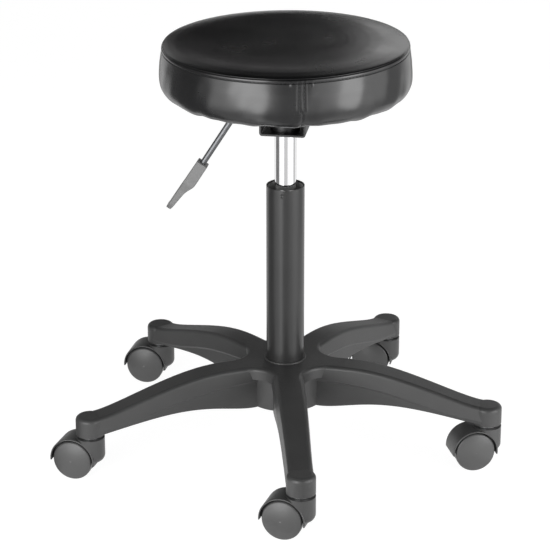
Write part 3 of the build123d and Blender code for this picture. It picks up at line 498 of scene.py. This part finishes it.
# The band starts a little inside its final shape, because pressure swells it.
shrink = BAND_SWELL * ramp(depth, SEWN_DEPTH, 2.0 * SEWN_DEPTH)[:, None]
uneven = staple_pull(angles, depth[:, None]) + foam_wave(angles, depth[:, None]) - shrink
start_r = band_r[:, None] + uneven * normal_r[:, None]
start_z = band_z[:, None] + uneven * normal_z[:, None]
band_points = np.stack([start_r * np.cos(angles), start_r * np.sin(angles), start_z], axis=-1).reshape(-1, 3)
band_quads = quads_between(numbers(BAND_ROWS, BAND_COLUMNS), around=True)
band = new_piece("seat_side_band", band_points, band_quads, vinyl, "seat")
band_sewn = np.repeat((depth < SEWN_DEPTH) | (row_share > STAPLED_SHARE), BAND_COLUMNS)
band_ring = np.repeat(np.arange(BAND_ROWS), BAND_COLUMNS)
inflate(band, band_sewn, band_ring, BAND_SWELL)

# The sewing's relief is worked out in millimetres: its height along the normal, from the distance down
# from the seam and the distance across from the front join.
FOLD_AT = 2.3
FOLD_HEIGHT = 0.6
FOLD_HALF_WIDTH = 1.6
GROOVE_AT = 4.8
JOIN_ROW = 2.9
JOIN_END = 36.0
TAIL_BLEND = 6.0
down = depth[:, None] / MILLIMETRE
across = (((angles - JOIN_ANGLE + pi) % (2.0 * pi)) - pi)[None, :] * SEAM_RADIUS / MILLIMETRE


def ridge(offset, middles, width, height):
    """Rounded ridges across one or more lines: height times the bell curve of (offset - middle) / width."""
    return height * sum(np.exp(-(((offset - middle) / width) ** 2)) for middle in middles)


def seam_relief(down):
    """The fold under the top seam, as a flat-topped ridge, with its stitched groove and the seam's crease."""
    fold = FOLD_HEIGHT / (1.0 + ((down - FOLD_AT) / FOLD_HALF_WIDTH) ** 6)
    groove = ridge(down, [GROOVE_AT], width=0.6, height=-0.55)
    crease = ridge(down, [0.0], width=0.6, height=-1.6)
    return fold + groove + crease


def join_relief(down, across):
    """The front join: three low ridges with a stitched dip between them. Below its last stitch the join
    goes on as a narrow groove between two broad lips."""
    layers = ridge(across, [-2.0 * JOIN_ROW, 0.0, 2.0 * JOIN_ROW], width=0.8, height=0.22)
    dips = ridge(across, [-JOIN_ROW, JOIN_ROW], width=0.8, height=-0.1)
    lips = ridge(across, [-3.8, 3.8], width=1.8, height=0.15)
    slit = ridge(across, [0.0], width=0.7, height=-0.35)
    open_share = ramp(down, JOIN_END, TAIL_BLEND)
    return ((layers + dips) * (1.0 - open_share) + (lips + slit) * open_share) * ramp(down, 1.0, 3.0)


def pinch_relief(down, across):
    """Two small pinches of the vinyl just below the groove, one on each side of the join."""
    return ridge(across, [-13.0, 13.4], width=0.9, height=0.55) * ridge(down, [6.5], width=2.4, height=1.0)


def side_fade(place):
    """Square of the height above the side's foot, as a share of the seam's height above it."""
    return ramp(place[:, 2], SIDE_FOOT, SEAM_HEIGHT - SIDE_FOOT) ** 2


relief = (seam_relief(down) + join_relief(down, across) + pinch_relief(down, across)) * MILLIMETRE
band_normal = np.stack([normal_r[:, None] * np.cos(angles), normal_r[:, None] * np.sin(angles),
                        np.broadcast_to(normal_z[:, None], relief.shape)], axis=-1)
move_points(band, points_of(band.data).reshape(band_normal.shape) + band_normal * relief[..., None])
lift_seam(band, side_fade)
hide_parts("seat_cover_band")

# Sewing thread.
# Black bonded polyester, lock-stitched along the groove under the top seam and in two rows down the
# front join. Each stitch is a short length of thread that dips at both ends.

THREAD = 0.7 * MILLIMETRE
STITCH_PITCH = 5.0 * MILLIMETRE
STITCH_LENGTH = 3.9 * MILLIMETRE
STITCH_LIFT = 0.1 * MILLIMETRE
JOIN_THREAD = 1.2 * MILLIMETRE
JOIN_PITCH = 4.6 * MILLIMETRE
JOIN_LENGTH = 4.14 * MILLIMETRE
JOIN_START = 7.5 * MILLIMETRE
JOIN_STITCHES = 8


def bonded_thread():
    """Black polyester thread: satin, with the twist as fine slanted lines."""
    finish, tree, shader, place = begin_finish("black_polyester_thread")
    twist = add(tree, "ShaderNodeTexWave", {"Vector": place, "Scale": per_metre(2.5)},
                bands_direction="DIAGONAL")
    tone = add(tree, "ShaderNodeMix", {"Factor": twist.outputs["Fac"], "A": linear("#1b1b1c"),
                                       "B": linear("#2c2c2d")}, data_type="RGBA")
    feed(tree, shader, {"Base Color": tone.outputs["Result"], "Roughness": 0.7})
    return finish


def stitches(middle, along, outward, length, thick):
    """Many stitches at once: each is a six-sided tube with seven stations along its own line. By the fourth
    power of the way to its ends, its radius falls to almost nothing and its centre dips."""
    station = np.linspace(-1.0, 1.0, 7)
    turn = np.arange(6) * pi / 3
    sideways = np.cross(along, outward)
    swell = np.sqrt(np.clip(1.0 - station ** 4, 0.004, 1.0)) * thick / 2
    centre = middle[:, None, :] + along[:, None, :] * (station * length / 2)[None, :, None]
    centre = centre - outward[:, None, :] * (thick * 0.6 * station ** 4)[None, :, None]
    ring = (sideways[:, None, None, :] * (swell[:, None] * np.cos(turn))[None, :, :, None]
            + outward[:, None, None, :] * (swell[:, None] * np.sin(turn))[None, :, :, None])
    points = centre[:, :, None, :] + ring
    each = quads_between(numbers(len(station), len(turn)), around=True)
    first = np.arange(len(middle)) * len(station) * len(turn)
    quads = each[None, :, :] + first[:, None, None]
    return points.reshape(-1, 3), quads.reshape(-1, 4)


def unit(vectors):
    """Vectors scaled to length one."""
    return vectors / np.linalg.norm(vectors, axis=1, keepdims=True)


thread = bonded_thread()
band_shape = points_of(band.data).reshape(band_normal.shape)
groove = band_shape[np.argmin(np.abs(depth - GROOVE_AT * MILLIMETRE))]
count = int(2.0 * pi * SEAM_RADIUS / STITCH_PITCH)
stitch_angle = JOIN_ANGLE + (np.arange(count) + 0.5) * 2.0 * pi / count
groove_r = np.interp(stitch_angle, angles, np.hypot(groove[:, 0], groove[:, 1]), period=2.0 * pi)
groove_z = np.interp(stitch_angle, angles, groove[:, 2], period=2.0 * pi)
# The groove faces outward and a quarter as much upward.
facing = unit(np.stack([np.cos(stitch_angle), np.sin(stitch_angle), np.full(count, 0.25)], axis=-1))
middle = np.stack([groove_r * np.cos(stitch_angle), groove_r * np.sin(stitch_angle), groove_z], axis=-1)
along = np.stack([-np.sin(stitch_angle), np.cos(stitch_angle), np.zeros(count)], axis=-1)
seam_points, seam_quads = stitches(middle + facing * STITCH_LIFT, along, facing, STITCH_LENGTH, THREAD)
new_piece("top_seam_stitches", seam_points, seam_quads, thread, "seat")


def at_depth(column, depths):
    """Vectors of one column of the band at the given lengths below the seam."""
    return np.stack([np.interp(depths, depth, column[:, axis]) for axis in range(3)], axis=-1)


join_depth = JOIN_START + np.arange(JOIN_STITCHES) * JOIN_PITCH
join_rows = []
for row_side in (-JOIN_ROW, JOIN_ROW):
    column = np.argmin(np.abs(across[0] - row_side))
    middle = at_depth(band_shape[:, column], join_depth)
    along = unit(at_depth(band_shape[:, column], join_depth + MILLIMETRE) - middle)
    facing = at_depth(band_normal[:, column], join_depth)
    join_rows.append((middle + facing * STITCH_LIFT, along, facing))
middle, along, facing = (np.vstack(part) for part in zip(*join_rows))
join_points, join_quads = stitches(middle, along, facing, JOIN_LENGTH, JOIN_THREAD)
new_piece("front_join_stitches", join_points, join_quads, thread, "seat")

# Dust cover.
# Thin black non-woven cloth, stapled over the hem with steel staples. Just inside the hem it steps up to
# the board, and the plate clamps it there.

dust_low, dust_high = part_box("dust_cover")
DUST_RADIUS = dust_high.x
DUST_RINGS = 40
STEP_RADIUS = 106.0 * MILLIMETRE
STEP_WIDTH = 9.0 * MILLIMETRE

dress(bright_steel, "staples")


def non_woven():
    """Spun-bonded cloth: matt black with a small embossed diamond net."""
    finish, tree, shader, place = begin_finish("black_non_woven_cloth")
    net = add(tree, "ShaderNodeTexVoronoi", {"Vector": place, "Scale": per_metre(2.5)}, distance="MANHATTAN")
    tone = add(tree, "ShaderNodeMix", {"Factor": net.outputs["Distance"], "A": linear("#1d1d1d"),
                                       "B": linear("#2a2a2a")}, data_type="RGBA")
    relief = add(tree, "ShaderNodeBump", {"Height": net.outputs["Distance"], "Strength": 0.4,
                                          "Distance": 0.2 * MILLIMETRE})
    feed(tree, shader, {"Base Color": tone.outputs["Result"], "Roughness": 0.9,
                        "Normal": relief.outputs["Normal"]})
    return finish


def dust_height(radius):
    """The cloth rises from the lapped hem to the board over the step, by the smooth curve 3 t^2 - 2 t^3."""
    rise = 1.0 - ramp(radius, STEP_RADIUS, STEP_WIDTH)
    hem = dust_low.z + 0.1 * MILLIMETRE
    board = dust_high.z - 0.2 * MILLIMETRE
    return hem + (board - hem) * rise * rise * (3.0 - 2.0 * rise)


dust_edge = np.array([[DUST_RADIUS, dust_low.z + 0.3 * MILLIMETRE]])
dust_points, dust_quads, _ = disc_with_rim(DUST_RINGS, DUST_RADIUS - MILLIMETRE, dust_height, dust_edge)
dust_sheet = new_piece("dust_cloth", dust_points, dust_quads[:, ::-1], non_woven(), "seat")
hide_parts("dust_cover")

# Studio.
# A white floor, tall soft panels on both sides of the camera and softer ones behind. A dark ceiling and
# a dark flag at the left keep the black vinyl black, and cards on the floor shape the tubes' highlights.

scene.view_settings.view_transform = "Standard"
WHITE = (1.0, 1.0, 1.0, 1.0)


def seen_directly(tree):
    """One for camera, mirror and glass rays, which see the white background, and zero for light rays."""
    ray = add(tree, "ShaderNodeLightPath").outputs
    either = add(tree, "ShaderNodeMath", {0: ray["Is Camera Ray"], 1: ray["Is Glossy Ray"]},
                 operation="MAXIMUM")
    all_three = add(tree, "ShaderNodeMath", {0: either.outputs[0], 1: ray["Is Transmission Ray"]},
                    operation="MAXIMUM")
    return all_three.outputs[0]


def stage_sheet(name, points, finish):
    """A plain sheet of the studio from a grid of points, which isn't part of the stool."""
    quads = quads_between(numbers(*points.shape[:2]))
    mesh = bpy.data.meshes.new(name)
    mesh.from_pydata(points.reshape(-1, 3).tolist(), [], quads.tolist())
    mesh.materials.append(finish)
    made = bpy.data.objects.new(name, mesh)
    scene.collection.objects.link(made)
    return made


def white_floor():
    """Matt white floor: shown almost white, with a little of its own shading left so that a shadow stays."""
    finish, tree, shader, _ = begin_finish("white_floor")
    lit = add(tree, "ShaderNodeBsdfDiffuse", {"Color": (0.8, 0.8, 0.8, 1.0)})
    shaded = add(tree, "ShaderNodeBsdfDiffuse", {"Color": (0.2, 0.2, 0.2, 1.0)})
    glow = add(tree, "ShaderNodeEmission", {"Color": WHITE, "Strength": 0.93})
    shown = add(tree, "ShaderNodeAddShader", {0: shaded.outputs[0], 1: glow.outputs[0]})
    mixed = add(tree, "ShaderNodeMixShader", {"Fac": seen_directly(tree), 1: lit.outputs[0],
                                              2: shown.outputs[0]})
    tree.nodes.remove(shader)
    feed(tree, tree.nodes["Material Output"], {"Surface": mixed.outputs[0]})
    return finish


FLOOR_REACH = 20.0
floor_x, floor_y = np.meshgrid([-FLOOR_REACH, FLOOR_REACH], [-FLOOR_REACH, FLOOR_REACH], indexing="ij")
stage_sheet("floor", np.stack([floor_x, floor_y, np.zeros((2, 2))], axis=-1), white_floor())


def card_finish(name, brightness):
    """Plain studio card with an even brightness, where 1 is as bright as white paper."""
    finish, tree, shader, _ = begin_finish(name)
    glow = add(tree, "ShaderNodeEmission", {"Color": WHITE, "Strength": brightness})
    tree.nodes.remove(shader)
    feed(tree, tree.nodes["Material Output"], {"Surface": glow.outputs[0]})
    return finish


def stand_card(name, points, brightness):
    """A card from a grid of points, seen only in reflections."""
    made = stage_sheet(name, points, card_finish(name, brightness))
    made.visible_camera = False
    made.visible_diffuse = False
    made.visible_shadow = False


def hang_card(name, azimuths, elevations, distance, brightness):
    """A card bent to part of a sphere round the seat. Azimuth runs from the camera's side to the right."""
    turn, rise = np.meshgrid(np.radians(np.linspace(*azimuths, 25)), np.radians(np.linspace(*elevations, 13)),
                             indexing="ij")
    level = distance * np.cos(rise)
    stand_card(name, np.stack([level * np.sin(turn), -level * np.cos(turn),
                               SEAM_HEIGHT + distance * np.sin(rise)], axis=-1), brightness)


def lay_card(name, azimuths, reach, brightness):
    """A card on the floor: part of a flat ring round the column, between two azimuths and two radii."""
    turn, radius = np.meshgrid(np.radians(np.linspace(*azimuths, 13)), np.array(reach), indexing="ij")
    stand_card(name, np.stack([radius * np.sin(turn), -radius * np.cos(turn),
                               np.full_like(turn, 2.0 * MILLIMETRE)], axis=-1), brightness)


hang_card("dark_ceiling", (-180.0, 180.0), (2.0, 88.0), distance=6.0, brightness=0.004)
hang_card("left_flag", (-122.0, -70.0), (-33.5, 60.0), distance=1.0, brightness=0.22)
hang_card("right_flag", (95.0, 125.0), (-33.5, 0.0), distance=1.0, brightness=0.6)
lay_card("left_floor_flag", (-122.0, -70.0), reach=(0.3, 1.0), brightness=0.22)
lay_card("front_grey_card", (-15.0, 22.0), reach=(0.3, 2.6), brightness=0.65)
lay_card("left_white_card", (-34.0, -19.0), reach=(0.3, 2.0), brightness=2.4)
lay_card("right_white_card", (45.0, 80.0), reach=(0.3, 2.0), brightness=1.6)
lay_card("back_floor_flag", (155.0, 205.0), reach=(0.5, 2.4), brightness=0.3)


def soft_panel(name, azimuths, distance, heights, brightness):
    """A soft light panel facing the column, between two azimuths and two heights. Azimuth runs from the
    camera's side to the right, and brightness is its radiance, where 1 is as bright as white paper."""
    turn = radians(sum(azimuths) / 2.0)
    lamp = bpy.data.lights.new(name, "AREA")
    lamp.shape = "RECTANGLE"
    lamp.size = 2.0 * distance * np.tan(radians(azimuths[1] - azimuths[0]) / 2.0)
    lamp.size_y = heights[1] - heights[0]
    lamp.energy = brightness * pi * lamp.size * lamp.size_y
    made = bpy.data.objects.new(name, lamp)
    made.location = (distance * np.sin(turn), -distance * np.cos(turn), sum(heights) / 2.0)
    made.rotation_euler = (radians(90.0), 0.0, turn)
    made.visible_camera = False
    scene.collection.objects.link(made)


NEAR = 2.0
FAR = 3.4
SIDE_HEIGHTS = (0.0, 1.3)
soft_panel("left_panel", (-46.0, -15.0), NEAR, SIDE_HEIGHTS, brightness=6.5)
soft_panel("left_side_panel", (-67.0, -46.0), NEAR, SIDE_HEIGHTS, brightness=2.2)
soft_panel("right_side_panel", (23.0, 46.0), NEAR, SIDE_HEIGHTS, brightness=1.8)
soft_panel("right_panel", (46.0, 70.0), NEAR, SIDE_HEIGHTS, brightness=6.0)
soft_panel("right_outer_panel", (70.0, 104.0), NEAR, SIDE_HEIGHTS, brightness=1.2)
soft_panel("back_strip", (168.0, 192.0), FAR, (1.99, 2.42), brightness=0.6)
soft_panel("right_back_panel", (140.0, 175.5), FAR, (1.16, 2.06), brightness=1.4)
soft_panel("left_back_panel", (-168.0, -145.0), FAR, (1.28, 2.3), brightness=0.7)

world = bpy.data.worlds.new("white_studio")
world.use_nodes = True
sky = world.node_tree
ambient = add(sky, "ShaderNodeBackground", {"Color": WHITE, "Strength": 0.2})
white = add(sky, "ShaderNodeBackground", {"Color": WHITE, "Strength": 1.0})
shown = add(sky, "ShaderNodeMixShader", {"Fac": seen_directly(sky), 1: ambient.outputs[0],
                                         2: white.outputs[0]})
feed(sky, sky.nodes["World Output"], {"Surface": shown.outputs[0]})
scene.world = world

# Camera.
# A long lens three metres in front of the stool, looking down on the seat.

CAMERA_DISTANCE = 3.0
CAMERA_HEIGHT = 1.4242
LENS = 159.84
LOOK_DOWN = 21.48
LOOK_LEFT = 0.26
camera_data = bpy.data.cameras.new("camera")
camera_data.sensor_width = 36.0
camera_data.lens = LENS
camera = bpy.data.objects.new("camera", camera_data)
camera.location = (0.0, -CAMERA_DISTANCE, CAMERA_HEIGHT)
camera.rotation_euler = (radians(90.0 - LOOK_DOWN), 0.0, radians(LOOK_LEFT))
scene.collection.objects.link(camera)
scene.camera = camera
